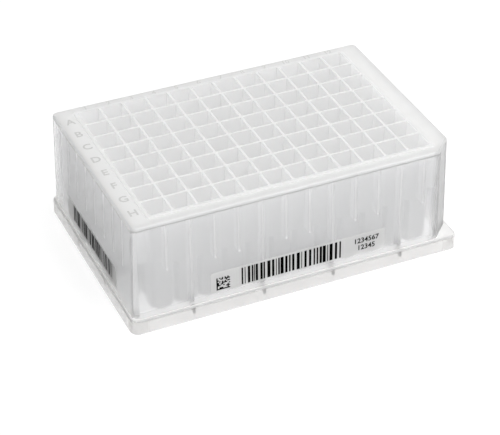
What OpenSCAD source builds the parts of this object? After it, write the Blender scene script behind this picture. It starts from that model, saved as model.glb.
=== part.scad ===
// Deep-well plate with 96 square wells on the standard 9 mm grid. The wells, deck, outer
// wall, ribs and base flange are one moulding, and a film label is stuck on two of its sides.
// Origin at the middle of the footprint, +X towards column 12, +Y towards row A, +Z up.

/* [Base flange] */
// Length of the footprint
base_l = 127.76; // [126:0.01:160]
// Width of the footprint
base_w = 85.48; // [84:0.01:110]
// Height of the flange, up to its ledge
base_h = 5.6; // [4.5:0.1:7]
// Thickness of the flange and of its ledge
base_t = 1.3; // [1:0.05:1.6]
// Radius of the flange's corners
base_r = 3.18; // [3:0.02:4]
// How much the flange narrows from its foot to its ledge, on each side
base_lean = 0.12; // [0:0.01:0.2]
// Rounding of the ledge's outer edge
ledge_round = 0.5; // [0.2:0.05:0.6]

/* [Outer wall] */
// Height of the whole plate, to the rims of the wells
plate_h = 43.6; // [36:0.1:56]
// Thickness of the outer wall
wall_t = 1.3; // [1:0.05:1.6]
// How far the wall leans in on each side, from the ledge to the deck
wall_lean = 0.9; // [0.4:0.05:1.2]
// Width of the ledge along the short sides
ledge_end = 0.98; // [0.7:0.01:1.6]
// Width of the ledge along the long sides
ledge_side = 1.24; // [0.7:0.01:1.6]
// Radius of the wall's corners at the deck
deck_r = 2; // [1.6:0.1:3]
// Leg of the slanted corner beside well H12, at the deck
key_leg = 7.2; // [5:0.1:9]

/* [Deck] */
// Thickness of the deck
deck_t = 1.6; // [1.2:0.1:2.2]
// Rounding of the deck's outer edge
deck_round = 0.8; // [0.3:0.1:1]
// Height of the wells' rims above the deck
rim_h = 0.5; // [0.2:0.1:1]
// Width of the rim outside the outermost wells
rim_w = 1.3; // [1:0.1:1.8]
// Radius of the rim's corners
rim_r = 1; // [0.6:0.1:1.5]
// Rounding of the rim's outer edge
rim_round = 0.2; // [0.1:0.05:0.4]

/* [Wells] */
// Number of columns
cols = 12; // [2:1:12]
// Number of rows
rows = 8; // [2:1:8]
// Distance between the centres of neighbouring wells
pitch = 9; // [8.9:0.1:9]
// Width of a well at its mouth
mouth_w = 8.2; // [7.6:0.1:8.3]
// Width of a well at its shoulder, where the bottom begins
well_low_w = 6.9; // [6.4:0.1:7.1]
// Outer width of a well's post at the shoulder
post_low_w = 8.4; // [8.2:0.05:8.5]
// Outer width of a post where the posts join in one block
post_top_w = 8.7; // [8.5:0.05:8.8]
// Height above the base at which the posts join
join_z = 22.4; // [18:0.1:28]
// Radius of the joined block's corners
block_r = 1.6; // [1:0.1:2]
// How far the block's side stays behind the rim's, at the deck
block_step = 0.3; // [0.1:0.05:0.5]
// Height of a post's shoulder above the base
shoulder_z = 8; // [7:0.1:10]
// Height of a post's tip above the base
tip_z = 0.9; // [0.5:0.1:1.5]
// Size of the slants on a post's upright edges, as the radius they stand for
post_edge_r = 2.1; // [1.6:0.1:2.3]
// The same for the edges inside a well, at the height of the base
well_edge_r = 2; // [1.5:0.1:2.2]
// The same at the well's mouth
mouth_edge_r = 0.5; // [0.4:0.1:0.8]
// Slope of the pointed bottom, from the level
cone_angle = 41; // [35:1:45]
// Half the width of the bottom's blunt tip, outside and inside
tip_r = 1; // [0.6:0.1:1.4]
// Thickness of the bottom
floor_t = 0.9; // [0.7:0.1:1.2]

/* [Ribs] */
// Thickness of the ribs between the wells and the outer wall
rib_t = 0.9; // [0.6:0.05:1.2]
// Every third rib is long, starting with this one
long_rib = 2; // [1:1:3]
// Height above the base of a long rib's lower end, at the wells
rib_foot_z = 5.5; // [5:0.1:7]
// Height above the base of its gusset's lowest point, on the flange
gusset_z = 1.7; // [1:0.1:2.5]

/* [Labels] */
// Thickness of the film
film_t = 0.1; // [0.06:0.01:0.2]
// Height of the labels
label_h = 8.8; // [6:0.1:12]
// Height of the labels' lower edge above the base
label_z = 8; // [7:0.1:12]
// Length of the label on the long side
long_label_l = 68; // [40:0.5:90]
// Length of the label on the short side
short_label_l = 49.5; // [30:0.5:62]
// Radius of the labels' corners
label_r = 0.6; // [0.3:0.1:1.5]

/* [Hidden] */
$fn = 64;

// How far the parts of the moulding reach into each other
bite = 0.4;
// Angle from each slant of a well or a post to the next
turn_step = 45;

deck_z = plate_h - rim_h;
under_deck = deck_z - deck_t;
under_ledge = base_h - base_t;
block_l = cols * pitch;
block_w = rows * pitch;
lean_angle = atan(wall_lean / (deck_z - base_h));

// Outer wall: half its length and width at the deck
deck_x = base_l / 2 - ledge_end - wall_lean;
deck_y = base_w / 2 - ledge_side - wall_lean;

// How far the wall's outer face stands out from its core outline at height z
function wall_out(z) = deck_r + (deck_z - z) * tan(lean_angle);

// Centre of column c or row r, both counted from 0
function col_x(c) = (c - (cols - 1) / 2) * pitch;
function row_y(r) = ((rows - 1) / 2 - r) * pitch;

// Width of a well or a post at height z, on the line through two given widths
function tapered(z, low_w, low_z, top_w, top_z) =
    low_w + (top_w - low_w) * (z - low_z) / (top_z - low_z);
function well_w(z) = tapered(z, well_low_w, shoulder_z, mouth_w, plate_h);
function post_w(z) = tapered(z, post_low_w, shoulder_z, post_top_w, join_z);

// Core outline of a rectangle whose corners have radius r
function plain_core(x, y, r) =
    [[-x + r, -y + r], [x - r, -y + r], [x - r, y - r], [-x + r, y - r]];

// The same with the front right corner cut off by legs of length leg
function keyed_core(x, y, r, leg) =
    let (k = leg + (sqrt(2) - 1) * r)
    [
        [-x + r, -y + r],
        [x - k, -y + r],
        [x - r, -y + k],
        [x - r, y - r],
        [-x + r, y - r]
    ];

// Sweeps a side profile round a core outline and fills the middle. In the profile, x is how
// far the side stands out from the core and y is the height, from low to high.
module moulded(core, low, high, profile) {
    translate([0, 0, low])
        linear_extrude(high - low)
            polygon(core);
    for (i = [0:len(core) - 1]) {
        start = core[i];
        run = core[(i + 1) % len(core)] - start;
        translate([start.x, start.y, 0]) {
            rotate_extrude()
                polygon(profile);
            rotate([90, 0, 90 + atan2(run.y, run.x)])
                linear_extrude(norm(run))
                    mirror([1, 0])
                        polygon(profile);
        }
    }
}

// Side profile with a drafted face from [out_low, low] to [out_high, high] and a rounded top edge
function side_profile(out_low, low, out_high, high, round_r) =
    let (out_turn = out_high + (out_low - out_high) * round_r / (high - low))
    [
        [0, low],
        [out_low, low],
        for (turn = [0:22.5:90])
            [out_turn - round_r + round_r * cos(turn), high - round_r + round_r * sin(turn)],
        [0, high]
    ];

wall_core = keyed_core(deck_x, deck_y, deck_r, key_leg);
base_core = plain_core(base_l / 2, base_w / 2, base_r);

// Flange and outer wall, solid
module outer_form() {
    moulded(
        base_core, 0, base_h,
        side_profile(base_r, 0, base_r - base_lean, base_h, ledge_round)
    );
    moulded(
        wall_core, under_ledge, deck_z,
        side_profile(wall_out(under_ledge), under_ledge, deck_r, deck_z, deck_round)
    );
}

// Space inside the flange and the outer wall, up to the deck
module inner_space() {
    inside = base_r - base_t;
    moulded(
        base_core, -1, under_ledge,
        [[0, -1], [inside, -1], [inside - base_lean, under_ledge], [0, under_ledge]]
    );
    low = under_ledge - bite;
    moulded(
        wall_core, low, under_deck,
        [
            [0, low],
            [wall_out(low) - wall_t, low],
            [wall_out(under_deck) - wall_t, under_deck],
            [0, under_deck]
        ]
    );
}

// Distance from the axis to the side of a square of width w with corners of radius r, along a
// line turned by turn from the middle of a face
function reach(w, r, turn) = (w / 2 - r) * (abs(cos(turn)) + abs(sin(turn))) + r;

// Outline of two opposite faces of a well or a post: a blunt tip at height tip, the slopes of
// the pointed bottom, and drafted sides that stand out by foot at height 0 and by head at
// height top
function two_faces(tip, foot, head, top) =
    let (draft = (head - foot) / top)
    let (run = 1 / tan(cone_angle))
    let (turn_z = (foot - tip_r + tip * run) / (run - draft))
    let (turn_x = foot + draft * turn_z)
    [[-tip_r, tip], [tip_r, tip], [turn_x, turn_z], [head, top], [-head, top], [-turn_x, turn_z]];

// Square form with slanted upright edges and a pointed bottom. Its width and the radius that
// its edges stand for are foot_w and foot_r at height 0, and head_w and head_r at height top.
module drafted_square(tip, foot_w, foot_r, head_w, head_r, top) {
    intersection_for(turn = [0:turn_step:179])
        rotate([90, 0, turn])
            linear_extrude(2 * pitch, center = true)
                polygon(two_faces(tip, reach(foot_w, foot_r, turn), reach(head_w, head_r, turn), top));
}

// Outside of one well below the level where the posts join
module post() {
    top = join_z + bite;
    drafted_square(tip_z, post_w(0), post_edge_r, post_w(top), post_edge_r, top);
}

// Inside of one well
module cavity() {
    top = plate_h + bite;
    drafted_square(tip_z + floor_t, well_w(0), well_edge_r, well_w(top), mouth_edge_r, top);
}

// Block in which the upper parts of the wells share their walls
module upper_block() {
    half_x = (block_l - pitch + post_top_w) / 2;
    half_y = (block_w - pitch + post_top_w) / 2;
    spread = rim_w + mouth_w / 2 - post_top_w / 2 - block_step;
    moulded(
        plain_core(half_x, half_y, block_r), join_z, deck_z,
        [[0, join_z], [block_r, join_z], [block_r + spread, deck_z], [0, deck_z]]
    );
}

// Rim that stands up round all the wells
module rim() {
    margin = rim_w - (pitch - mouth_w) / 2;
    low = deck_z - bite;
    moulded(
        plain_core(block_l / 2 + margin, block_w / 2 + margin, rim_r), low, plate_h,
        side_profile(rim_r, low, rim_r, plate_h, rim_round)
    );
}

// Middle of the outer wall's thickness at height z, where the wall's face at the deck is at face
function wall_middle(face, z) = face + (deck_z - z) * tan(lean_angle) - wall_t / 2;

// Rib from the wells' outer face at post_face to the outer wall, seen from its side: x runs
// outwards. Long ribs reach down to the flange and end in a gusset.
module rib_side(post_face, face, is_long) {
    inner = post_face - bite;
    top = under_deck + bite;
    if (is_long) {
        flange = face + wall_lean + base_t / 2;
        in_ledge = base_h - base_t / 2;
        polygon([
            [inner, top],
            [inner, rib_foot_z],
            [flange, gusset_z],
            [flange, in_ledge],
            [wall_middle(face, in_ledge), in_ledge],
            [wall_middle(face, top), top]
        ]);
    } else {
        polygon([
            [inner, top],
            [inner, join_z],
            [wall_middle(face, join_z), join_z],
            [wall_middle(face, top), top]
        ]);
    }
}

// Ribs at every column on the long sides and at every row on the short sides
module ribs() {
    for (c = [0:cols - 1], side = [-90, 90])
        translate([col_x(c), 0, 0])
            rotate([90, 0, side])
                linear_extrude(rib_t, center = true)
                    rib_side((block_w - pitch + post_low_w) / 2, deck_y, (c + 1) % 3 == long_rib % 3);
    for (r = [0:rows - 1], side = [0, 180])
        translate([0, row_y(r), 0])
            rotate([90, 0, side])
                linear_extrude(rib_t, center = true)
                    rib_side((block_l - pitch + post_low_w) / 2, deck_x, r % 3 == long_rib);
}

// The whole moulding
module plate() {
    color([0.86, 0.87, 0.87])
        difference() {
            union() {
                difference() {
                    outer_form();
                    inner_space();
                }
                upper_block();
                rim();
                ribs();
                for (c = [0:cols - 1], r = [0:rows - 1])
                    translate([col_x(c), row_y(r), 0])
                        post();
            }
            for (c = [0:cols - 1], r = [0:rows - 1])
                translate([col_x(c), row_y(r), 0])
                    cavity();
        }
}

// Film label on a side of the outer wall that faces -Y, at the distance out of its core line
module label(length, core_out) {
    translate([0, -core_out - wall_out(label_z), label_z])
        rotate([90 - lean_angle, 0, 0])
            linear_extrude(film_t) {
                translate([-length / 2, label_r])
                    square([length, label_h - 2 * label_r]);
                translate([-length / 2 + label_r, 0])
                    square([length - 2 * label_r, label_h]);
                for (x = [-1, 1], y = [label_r, label_h - label_r])
                    translate([x * (length / 2 - label_r), y])
                        circle(label_r);
            }
}

module long_side_label() {
    color([0.75, 0.76, 0.76])
        label(long_label_l, deck_y - deck_r);
}

module short_side_label() {
    color([0.75, 0.76, 0.76])
        rotate([0, 0, -90])
            label(short_label_l, deck_x - deck_r);
}

plate();
long_side_label();
short_side_label();
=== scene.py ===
import math
import random

import bmesh
import bpy
from mathutils import Euler, Matrix, Vector


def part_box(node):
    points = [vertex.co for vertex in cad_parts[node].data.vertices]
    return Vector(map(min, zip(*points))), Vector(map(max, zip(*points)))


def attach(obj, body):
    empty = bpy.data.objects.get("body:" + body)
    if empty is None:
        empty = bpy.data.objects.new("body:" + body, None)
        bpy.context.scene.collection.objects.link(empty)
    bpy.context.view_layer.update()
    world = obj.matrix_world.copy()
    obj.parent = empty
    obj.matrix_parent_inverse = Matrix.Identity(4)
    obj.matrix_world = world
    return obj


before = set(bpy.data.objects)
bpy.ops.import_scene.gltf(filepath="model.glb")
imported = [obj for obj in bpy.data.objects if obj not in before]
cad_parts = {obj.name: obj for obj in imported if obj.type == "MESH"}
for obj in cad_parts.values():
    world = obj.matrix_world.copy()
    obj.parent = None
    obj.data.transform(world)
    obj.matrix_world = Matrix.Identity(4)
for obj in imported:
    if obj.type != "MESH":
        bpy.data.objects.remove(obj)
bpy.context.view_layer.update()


# The moulding: one shot of natural polypropylene, with the wells, deck, ribs and flange in one
# piece. The resin has no pigment, so it is milky and lets shapes behind it show softly. Its
# surfaces are satin from the mould, and the deck round the wells is printed white.
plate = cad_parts["plate"]
plate_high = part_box("plate")[1]
pitch = 0.009
columns = 12
rows = 8
wells_half = Vector((columns * pitch / 2, rows * pitch / 2))
rim_height = 0.0005
deck_top = plate_high.z - rim_height
deck_band = 0.003
edge_height = 0.0013
bare_edge = 0.0007
wall_thickness = 0.0013
wall_draft = 0.0009
wall_foot = 0.004
rib_thickness = 0.0009
short_rib_end = 0.0224
rib_foot_low = 0.001
rib_foot_high = 0.005
corner_reach = 0.006
hair = 0.0001

# the heights and reaches that the moulding's own mesh gives
points = [vertex.co for vertex in plate.data.vertices]
ledge_top = max(point.z for point in points if point.y > plate_high.y - 8 * hair)
deck_points = [point for point in points if deck_top - deck_band < point.z < deck_top + hair]
deck_half = Vector((max(point.x for point in deck_points), max(point.y for point in deck_points)))
key_reach = max(point.x - point.y for point in deck_points)
rim_points = [point for point in points if point.z > plate_high.z - 2 * hair]
rim_half = Vector((max(point.x for point in rim_points), max(point.y for point in rim_points)))


def node(tree, kind, **settings):
    """Adds a shader node and sets its properties."""
    made = tree.nodes.new(kind)
    for name, value in settings.items():
        setattr(made, name, value)
    return made


def feed(tree, socket, value):
    """Gives a socket a number or a colour, or links it to another node's output."""
    if isinstance(value, bpy.types.NodeSocket):
        tree.links.new(value, socket)
    elif isinstance(value, tuple):
        socket.default_value = (*value, 1)
    else:
        socket.default_value = value


def maths(tree, operation, first, second=0.0):
    """Adds a Math node on numbers or sockets, and returns its output."""
    made = node(tree, "ShaderNodeMath", operation=operation)
    feed(tree, made.inputs[0], first)
    feed(tree, made.inputs[1], second)
    return made.outputs[0]


def blend(tree, share, first, second):
    """Returns first where share is 0, second where it is 1, and a mixture between."""
    in_colour = any(isinstance(end, tuple) or getattr(end, "type", "") == "RGBA"
                    for end in (first, second))
    made = node(tree, "ShaderNodeMix", data_type="RGBA" if in_colour else "FLOAT")
    sockets = [socket for socket in made.inputs if socket.enabled]
    for socket, value in zip(sockets, (share, first, second)):
        feed(tree, socket, value)
    return next(socket for socket in made.outputs if socket.enabled)


def mix_shaders(tree, share, first, second):
    """Mixes two shaders, all first where share is 0 and all second where it is 1."""
    made = node(tree, "ShaderNodeMixShader")
    for socket, value in zip(made.inputs, (share, first, second)):
        feed(tree, socket, value)
    return made.outputs[0]


def scaled(tree, colour, share):
    """Multiplies a colour by a number."""
    made = node(tree, "ShaderNodeVectorMath", operation="SCALE")
    feed(tree, made.inputs[0], colour)
    feed(tree, made.inputs["Scale"], share)
    return made.outputs[0]


def glossy_body(tree, colour, roughness, ior, transmission=0.0):
    """Adds a Principled shader and returns its output."""
    made = node(tree, "ShaderNodeBsdfPrincipled")
    feed(tree, made.inputs["Base Color"], colour)
    made.inputs["Roughness"].default_value = roughness
    made.inputs["IOR"].default_value = ior
    made.inputs["Transmission Weight"].default_value = transmission
    return made.outputs[0]


def grey(value):
    """A neutral colour."""
    return (value, value, value)


def both(tree, first, second):
    """1 where both masks are 1."""
    return maths(tree, "MULTIPLY", first, second)


def outside(tree, mask):
    """1 where a mask is 0."""
    return maths(tree, "SUBTRACT", 1.0, mask)


def above(tree, value, limit):
    """1 where value is more than limit."""
    return maths(tree, "GREATER_THAN", value, limit)


def below(tree, value, limit):
    """1 where value is less than limit."""
    return maths(tree, "LESS_THAN", value, limit)


def near(tree, value, level, reach):
    """1 where value is less than reach from level."""
    return below(tree, maths(tree, "ABSOLUTE", maths(tree, "SUBTRACT", value, level)), reach)


def past(tree, value, half):
    """1 where value is more than half from 0, to either side."""
    return above(tree, maths(tree, "ABSOLUTE", value), half)


def within(tree, place, half_x, half_y):
    """1 where a point is less than half_x and half_y from the middle of the plate."""
    inside = [below(tree, maths(tree, "ABSOLUTE", place.outputs[axis]), half)
              for axis, half in enumerate((half_x, half_y))]
    return both(tree, *inside)


def slope(tree, value, start, end):
    """Rises from 0 where value is start to 1 where it is end."""
    made = node(tree, "ShaderNodeMapRange")
    feed(tree, made.inputs["Value"], value)
    made.inputs["From Min"].default_value = start
    made.inputs["From Max"].default_value = end
    return made.outputs[0]


def clouded(tree, cloud, colour, rise):
    """Lets a colour rise to a little more than itself where the cloud is thick."""
    return blend(tree, cloud, colour, tuple(channel * rise for channel in colour))


def frosted_polypropylene():
    """A clear, rough body and a milky one that glows through, mixed by place on the moulding."""
    material = bpy.data.materials.new("frosted_polypropylene")
    material.use_nodes = True
    tree = material.node_tree
    tree.nodes.clear()
    coordinates = node(tree, "ShaderNodeTexCoord").outputs["Object"]
    place = node(tree, "ShaderNodeSeparateXYZ")
    tree.links.new(coordinates, place.inputs[0])
    x, y, z = place.outputs
    normal = node(tree, "ShaderNodeSeparateXYZ")
    tree.links.new(node(tree, "ShaderNodeNewGeometry").outputs["Normal"], normal.inputs[0])
    least_upright = 0.7
    facing_up = above(tree, normal.outputs[2], least_upright)

    # flow marks and small differences in thickness, as soft clouds
    clouds = node(tree, "ShaderNodeTexNoise")
    clouds.inputs["Scale"].default_value = 90
    clouds.inputs["Detail"].default_value = 3
    tree.links.new(coordinates, clouds.inputs["Vector"])
    cloud = clouds.outputs["Fac"]

    # the printed deck, which stops short of the rounded edge and of the cut corner, and the rims
    toward_key = maths(tree, "SUBTRACT", x, y)
    high = above(tree, z, deck_top - 3 * hair)
    off_edge = within(tree, place, deck_half.x - bare_edge, deck_half.y - bare_edge)
    off_key = below(tree, toward_key, key_reach - bare_edge * math.sqrt(2))
    printed = both(tree, both(tree, facing_up, high), both(tree, off_edge, off_key))
    on_outer_rim = within(tree, place, *rim_half)
    on_rims = within(tree, place, wells_half.x - 3 * hair, wells_half.y - 3 * hair)
    in_wells = within(tree, place, rim_half.x - 3 * hair, rim_half.y - 3 * hair)

    # the wall's rounded upper edge, the painted shadow line under that edge, the wall's foot and its
    # corners
    above_flange = above(tree, z, ledge_top + hair)
    edge_foot = deck_top - edge_height
    past_edge = outside(tree, within(tree, place, deck_half.x - edge_height, deck_half.y - edge_height))
    in_upper_edge = both(tree, above(tree, z, edge_foot), past_edge)
    shadow_under_edge = both(tree, near(tree, z, edge_foot, 2.5 * hair), past_edge)
    at_foot = slope(tree, z, ledge_top + wall_foot, ledge_top)
    last_rows = wells_half.y * 0.65
    past_rows = slope(tree, y, last_rows, wells_half.y + 20 * hair)
    at_back_corner = both(tree, past_rows, past(tree, x, wells_half.x - 10 * hair))
    # painted shade: the cut corner is painted darker than the rest of the wall
    key_depth = wall_thickness * 1.5
    on_key = both(tree, above(tree, toward_key, key_reach - key_depth), above_flange)

    # the ribs, which are all that lies inside the leaning wall's inner faces
    draft = maths(tree, "MULTIPLY", maths(tree, "SUBTRACT", deck_top, z),
                  wall_draft / (deck_top - ledge_top))
    inner_faces = [maths(tree, "ADD", draft, half - wall_thickness - hair / 2) for half in deck_half]
    in_ribs = both(tree, within(tree, place, *inner_faces), above_flange)

    # the ribs' roots, which show through the short sides' walls as pale lines, one to a row; they are
    # milkier than the wall and take less of its painted shade
    row_share = maths(tree, "FRACT", maths(tree, "DIVIDE", y, pitch))
    mid_row = 0.5
    on_rib = near(tree, row_share, mid_row, rib_thickness / pitch / 2)
    past_ends = both(tree, past(tree, x, wells_half.x + 10 * hair),
                     outside(tree, past(tree, y, wells_half.y)))
    in_rib_roots = both(tree, both(tree, on_rib, past_ends), above(tree, z, short_rib_end))

    # the flange, its corners, the gussets inside it, darkened with painted shade, and its ledge's face
    # and edge
    in_flange = outside(tree, above_flange)
    near_corner = both(tree, past(tree, x, plate_high.x - corner_reach),
                       past(tree, y, plate_high.y - corner_reach))
    inner = wall_thickness + 2 * hair
    in_gussets = both(tree, below(tree, z, ledge_top - wall_thickness - hair),
                      within(tree, place, plate_high.x - inner, plate_high.y - inner))
    in_gussets = both(tree, in_gussets, outside(tree, near_corner))
    # painted light: the ledge's upward face is painted lighter and milkier than the flange; its edge is
    # darker
    on_ledge = both(tree, facing_up, near(tree, z, ledge_top, hair))
    off_ledge_edge = within(tree, place, plate_high.x - 8 * hair, plate_high.y - 8 * hair)
    on_ledge_edge = both(tree, near(tree, z, ledge_top, 5 * hair), outside(tree, off_ledge_edge))

    # the eye crosses more resin where it looks along a wall, so that wall is milkier
    # painted shade also darkens the wall where it is seen at a slant
    slant_start = 0.3
    facing = node(tree, "ShaderNodeLayerWeight").outputs["Facing"]
    slant = maths(tree, "MAXIMUM", maths(tree, "SUBTRACT", facing, slant_start), 0.0)

    # the wall's milky share, colour and painted shade along the slant, which each zone in turn
    # then changes, or leaves where it says None
    face_milk = 0.25
    slant_milk = 0.4
    milky = maths(tree, "ADD", face_milk, maths(tree, "MULTIPLY", slant, slant_milk))
    colour = clouded(tree, cloud, (0.84, 0.842, 0.852), 1.05)
    slant_shade = 0.76
    flange_colour = clouded(tree, cloud, (0.84, 0.832, 0.823), 1.05)
    well_colour = clouded(tree, cloud, grey(0.88), 1.02)
    # painted shade: the ribs darken to grey toward their feet at the ledge
    rib_foot = slope(tree, z, ledge_top + rib_foot_high, ledge_top + rib_foot_low)
    rib_colour = blend(tree, rib_foot, clouded(tree, cloud, grey(0.96), 1.02), grey(0.62))
    zones = (
        # zone, milky share, colour, painted shade
        (at_back_corner, 0.15, None, None),
        (at_foot, 0.3, flange_colour, 0.15),
        (at_back_corner, None, None, 0.0),
        (in_rib_roots, 0.65, None, 0.4),
        (in_flange, 0.32, None, None),
        (both(tree, in_flange, near_corner), 0.45, None, None),
        # painted light on the ledge's upward face
        (on_ledge, 0.75, grey(0.95), None),
        (on_ledge_edge, 0.9, grey(0.75), None),
        (in_upper_edge, 0.85, grey(0.86), 0.12),
        # painted shadow under the deck's edge
        (shadow_under_edge, 0.85, grey(0.62), None),
        # painted shade: the gussets dark grey
        (in_gussets, 1.0, grey(0.36), None),
        (in_ribs, 0.8, rib_colour, 0.25),
        (in_wells, 0.9, well_colour, 0.08),
        (printed, 1.0, None, None),
    )
    for zone, share, tone, painted_shade in zones:
        if share is not None:
            milky = blend(tree, zone, milky, share)
        if tone is not None:
            colour = blend(tree, zone, colour, tone)
        if painted_shade is not None:
            slant_shade = blend(tree, zone, slant_shade, painted_shade)
    # painted shade on the cut corner, added to the painted shade along the slant
    key_shade = 0.15
    painted_shade = maths(tree, "ADD", maths(tree, "MULTIPLY", slant, slant_shade),
                 maths(tree, "MULTIPLY", on_key, key_shade))
    unshaded_share = outside(tree, painted_shade)

    # the white print, its rims, and the tints of the clear body
    print_colour = clouded(tree, cloud, (0.785, 0.785, 0.78), 1.02)
    print_colour = blend(tree, on_outer_rim, print_colour, grey(0.85))
    print_colour = blend(tree, on_rims, print_colour, grey(0.93))
    # painted shade darkens every colour but the print
    colour = blend(tree, printed, scaled(tree, colour, unshaded_share), print_colour)
    tint = blend(tree, in_flange, (0.955, 0.956, 0.959), (0.93, 0.925, 0.92))
    tint = blend(tree, in_wells, tint, (0.985, 0.99, 0.99))

    glow_share = 0.5
    glow = node(tree, "ShaderNodeBsdfTranslucent")
    feed(tree, glow.inputs["Color"], colour)
    gloss = glossy_body(tree, colour, roughness=0.35, ior=1.35)
    milk = mix_shaders(tree, glow_share, gloss, glow.outputs[0])
    # the clear body's tint takes the same painted shade
    clear = glossy_body(tree, scaled(tree, tint, unshaded_share), roughness=0.2, ior=1.49, transmission=1.0)
    wall = mix_shaders(tree, milky, clear, milk)

    # lamps shine through the thin walls, weakened a little at each face
    let_through = 0.93
    through = node(tree, "ShaderNodeBsdfTransparent")
    feed(tree, through.inputs[0], grey(let_through))
    shadow = node(tree, "ShaderNodeLightPath").outputs["Is Shadow Ray"]
    out = node(tree, "ShaderNodeOutputMaterial")
    tree.links.new(mix_shaders(tree, shadow, wall, through.outputs[0]), out.inputs["Surface"])
    return material


plate.data.materials.clear()
plate.data.materials.append(frosted_polypropylene())


# The row letters and column numbers: bare resin strokes that the white print of the deck leaves
# free, so they show a little darker than the print.
letter_height = 0.0036
number_height = 0.0024
letter_lift = 0.00002
capital_share = 0.729
stroke_swell = 0.03


def flat_text(name, words, height, material):
    """Makes a mesh of words, lying in XY and centred on the origin, with capitals of this height."""
    curve = bpy.data.curves.new(name, "FONT")
    curve.body = words
    curve.align_x = "CENTER"
    curve.align_y = "CENTER"
    curve.resolution_u = 3
    curve.size = height / capital_share
    curve.offset = height * stroke_swell
    text = bpy.data.objects.new(name, curve)
    bpy.context.scene.collection.objects.link(text)
    bpy.context.view_layer.update()
    mesh = bpy.data.meshes.new_from_object(text)
    bpy.data.objects.remove(text)
    made = bpy.data.objects.new(name, mesh)
    bpy.context.scene.collection.objects.link(made)
    mesh.materials.clear()
    mesh.materials.append(material)
    return made


def grained(name, dark, light, roughness, ior=1.3, scale=700, see_through=0.0):
    """A satin material whose colour varies a little from spot to spot."""
    material = bpy.data.materials.new(name)
    material.use_nodes = True
    tree = material.node_tree
    tree.nodes.clear()
    coordinates = node(tree, "ShaderNodeTexCoord").outputs["Object"]
    grain = node(tree, "ShaderNodeTexNoise")
    grain.inputs["Scale"].default_value = scale
    tree.links.new(coordinates, grain.inputs["Vector"])
    colour = blend(tree, grain.outputs["Fac"], dark, light)
    surface = glossy_body(tree, colour, roughness, ior)
    if see_through:
        clear = node(tree, "ShaderNodeBsdfTransparent").outputs[0]
        shadow = node(tree, "ShaderNodeLightPath").outputs["Is Shadow Ray"]
        surface = mix_shaders(tree, maths(tree, "MAXIMUM", shadow, see_through), surface, clear)
    out = node(tree, "ShaderNodeOutputMaterial")
    tree.links.new(surface, out.inputs["Surface"])
    return material


bare_stroke = grained("bare_stroke", (0.54, 0.54, 0.53), (0.60, 0.60, 0.59), roughness=0.4)
thin_stroke = grained("thin_stroke", (0.64, 0.64, 0.63), (0.69, 0.69, 0.68), roughness=0.4)
letter_x = -(wells_half.x + deck_half.x) / 2 + 2 * hair
number_y = (wells_half.y + deck_half.y) / 2 + hair
marks = [(chr(ord("A") + row), letter_height, letter_x, ((rows - 1) / 2 - row) * pitch, bare_stroke)
         for row in range(rows)]
marks += [(str(column + 1), number_height, (column - (columns - 1) / 2) * pitch, number_y, thin_stroke)
          for column in range(columns)]
for words, height, x, y, stroke in marks:
    mark = flat_text("deck_mark_" + words, words, height, stroke)
    mark.data.transform(Matrix.Translation((x, y, deck_top + letter_lift)))
    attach(mark, "root")


# The two labels: grey film with a permanent adhesive on its back, pressed flat on the drafted
# outer wall, and thermal-transfer ink on its face: bars, a square code and plain digits.
film = grained("label_film", (0.95, 0.95, 0.94), (0.98, 0.98, 0.97), roughness=0.5, scale=400,
               see_through=0.63)
ink = grained("black_ink", grey(0.002), grey(0.005), roughness=0.8, ior=1.02)
ink_lift = 0.00002
for name in ("long_side_label", "short_side_label"):
    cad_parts[name].data.materials.clear()
    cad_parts[name].data.materials.append(film)


def label_plane(name, outward):
    """Turns and places the XY plane onto a label's outer face, with X along it and Y up, and the
    origin at the middle of its lower edge."""
    low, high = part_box(name)
    lean = math.atan2(wall_draft, deck_top - ledge_top)
    centre = (low + high) / 2
    along = Vector((-outward.y, outward.x, 0))
    up = Vector((0, 0, 1)) * math.cos(lean) - outward * math.sin(lean)
    face = along.cross(up)
    reach = max(abs(outward.dot(low)), abs(outward.dot(high)))
    foot = outward * reach + along * along.dot(centre) + Vector((0, 0, low.z))
    turn = Matrix((along, up, face)).transposed().to_4x4()
    return Matrix.Translation(foot + face * ink_lift) @ turn


def as_object(name, mesh, material):
    """Makes an object of a bmesh, and frees it."""
    data = bpy.data.meshes.new(name)
    mesh.to_mesh(data)
    mesh.free()
    data.materials.append(material)
    made = bpy.data.objects.new(name, data)
    bpy.context.scene.collection.objects.link(made)
    return made


def place_print(piece, plane):
    """Lays a printed piece on its label's plane."""
    piece.data.transform(plane)
    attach(piece, "root")


def bar_widths(seed):
    """Widths of bars and gaps in turn, in modules and in a chance order that stands for nothing."""
    chance = random.Random(seed)
    bar_choice = (1, 2, 3, 3, 4, 4)
    gap_choice = (1, 2, 2, 2, 3, 3)
    bars_and_gaps = 55
    return [chance.choice(gap_choice if place % 2 else bar_choice) for place in range(bars_and_gaps)]


def bars(name, plane, widths, start, low, height, module):
    """Prints a bar code from the widths of its bars and gaps in turn, in modules."""
    mesh = bmesh.new()
    edge = start
    for place, width in enumerate(widths):
        if place % 2 == 0:
            middle = Matrix.Translation((edge + width * module / 2, low + height / 2, 0))
            size = Matrix.Diagonal((width * module, height, 1, 1))
            bmesh.ops.create_grid(mesh, x_segments=1, y_segments=1, size=0.5, matrix=middle @ size)
        edge += width * module
    place_print(as_object(name, mesh, ink), plane)


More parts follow.
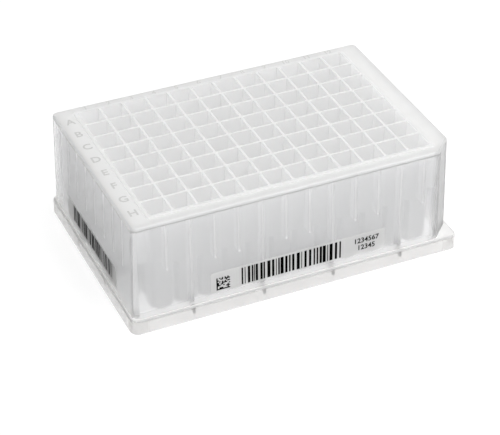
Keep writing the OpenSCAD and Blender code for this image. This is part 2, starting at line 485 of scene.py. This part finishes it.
def square_code(name, plane, cell, cells, dark_share, seed):
    """Prints a square code with two whole and two dashed sides, and chance cells inside."""
    chance = random.Random(seed)
    mesh = bmesh.new()
    last = cells - 1
    for column in range(cells):
        for row in range(cells):
            border = column == 0 or row == 0
            dashed = (column == last and row % 2 == 0) or (row == last and column % 2 == 0)
            inside = 0 < column < last and 0 < row < last
            if border or dashed or (inside and chance.random() < dark_share):
                spot = Vector((column - last / 2, row - last / 2, 0)) * cell
                bmesh.ops.create_grid(mesh, x_segments=1, y_segments=1, size=cell / 2,
                                      matrix=Matrix.Translation(spot))
    bmesh.ops.remove_doubles(mesh, verts=mesh.verts, dist=cell / 100)
    place_print(as_object(name, mesh, ink), plane)


long_plane = label_plane("long_side_label", Vector((0, -1, 0)))
short_plane = label_plane("short_side_label", Vector((-1, 0, 0)))
bars("long_label_bars", long_plane, bar_widths(4), start=-0.0223, low=0.0009, height=0.0071,
     module=0.0003)
bars("short_label_bars", short_plane, bar_widths(7), start=-0.0185, low=0.0017, height=0.0066,
     module=0.000309)
code_centre = Vector((-0.0293, 0.0037, 0))
code_plane = long_plane @ Matrix.Translation(code_centre)
square_code("long_label_square_code", code_plane, cell=0.00052, cells=10, dark_share=0.5, seed=6)

digit_height = 0.0021
digits_x = 0.0265
for words, digits_y in (("1234567", 0.0059), ("12345", 0.0029)):
    digits = flat_text("long_label_digits_" + words, words, digit_height, ink)
    place_print(digits, long_plane @ Matrix.Translation((digits_x, digits_y, 0)))


# Floor, light and camera: a white sweep under a large soft light, as a studio sets them up for
# a pale, see-through product. They are not part of the plate.
floor_half = 3
floor_grey = 0.25
floor_glow = 0.8


def seen_ray(tree):
    """1 for rays that show the background to the eye: straight, mirrored or through the resin."""
    rays = node(tree, "ShaderNodeLightPath")
    seen = maths(tree, "MAXIMUM", rays.outputs["Is Camera Ray"], rays.outputs["Is Glossy Ray"])
    return maths(tree, "MAXIMUM", seen, rays.outputs["Is Transmission Ray"])


def studio_floor():
    """A pale floor that takes a shadow, and shows white to the eye."""
    material = bpy.data.materials.new("white_floor")
    material.use_nodes = True
    tree = material.node_tree
    tree.nodes.clear()
    lit = node(tree, "ShaderNodeBsdfDiffuse")
    feed(tree, lit.inputs[0], grey(floor_grey))
    glow = node(tree, "ShaderNodeEmission")
    glow.inputs[1].default_value = floor_glow
    white = node(tree, "ShaderNodeAddShader")
    tree.links.new(lit.outputs[0], white.inputs[0])
    tree.links.new(glow.outputs[0], white.inputs[1])
    out = node(tree, "ShaderNodeOutputMaterial")
    shown = mix_shaders(tree, seen_ray(tree), lit.outputs[0], white.outputs[0])
    tree.links.new(shown, out.inputs["Surface"])
    return material


mesh = bmesh.new()
bmesh.ops.create_grid(mesh, x_segments=1, y_segments=1, size=floor_half)
floor = as_object("floor", mesh, studio_floor())

# the studio is brighter toward the front right, and white where the eye sees it
rightward = 0.5
brightest = 1.12
dim_side = 0.1
world = bpy.data.worlds.new("studio")
bpy.context.scene.world = world
world.use_nodes = True
tree = world.node_tree
tree.nodes.clear()
way = node(tree, "ShaderNodeSeparateXYZ")
tree.links.new(node(tree, "ShaderNodeTexCoord").outputs["Generated"], way.inputs[0])
toward_front = maths(tree, "SUBTRACT", maths(tree, "MULTIPLY", way.outputs[0], rightward),
                     way.outputs[1])
side = blend(tree, slope(tree, toward_front, -brightest, brightest), dim_side, 1.0)
sky = node(tree, "ShaderNodeBackground")
feed(tree, sky.inputs[1], blend(tree, seen_ray(tree), side, 1.0))
out = node(tree, "ShaderNodeOutputWorld")
tree.links.new(sky.outputs[0], out.inputs[0])

lamp = bpy.data.lights.new("overhead", "AREA")
lamp.size = 0.8
lamp.energy = 9.0
overhead = bpy.data.objects.new("overhead", lamp)
overhead.location = Vector((0.37, -0.27, 0.9))
overhead.rotation_euler = (-overhead.location).to_track_quat("-Z", "Y").to_euler()
bpy.context.scene.collection.objects.link(overhead)

aim = Vector((-0.0105, -0.0223, 0.0218))
distance = 0.6605
azimuth = math.radians(-24.05)
elevation = math.radians(35.16)
roll = math.radians(-0.116)
camera_data = bpy.data.cameras.new("camera")
camera_data.sensor_width = 36
camera_data.lens = 133.45
camera = bpy.data.objects.new("camera", camera_data)
turn = Euler((math.pi / 2 - elevation, 0, azimuth)).to_matrix() @ Matrix.Rotation(roll, 3, "Z")
camera.rotation_euler = turn.to_euler()
camera.location = aim + turn @ Vector((0, 0, distance))
bpy.context.scene.collection.objects.link(camera)
bpy.context.scene.camera = camera

bpy.context.scene.view_settings.view_transform = "Standard"
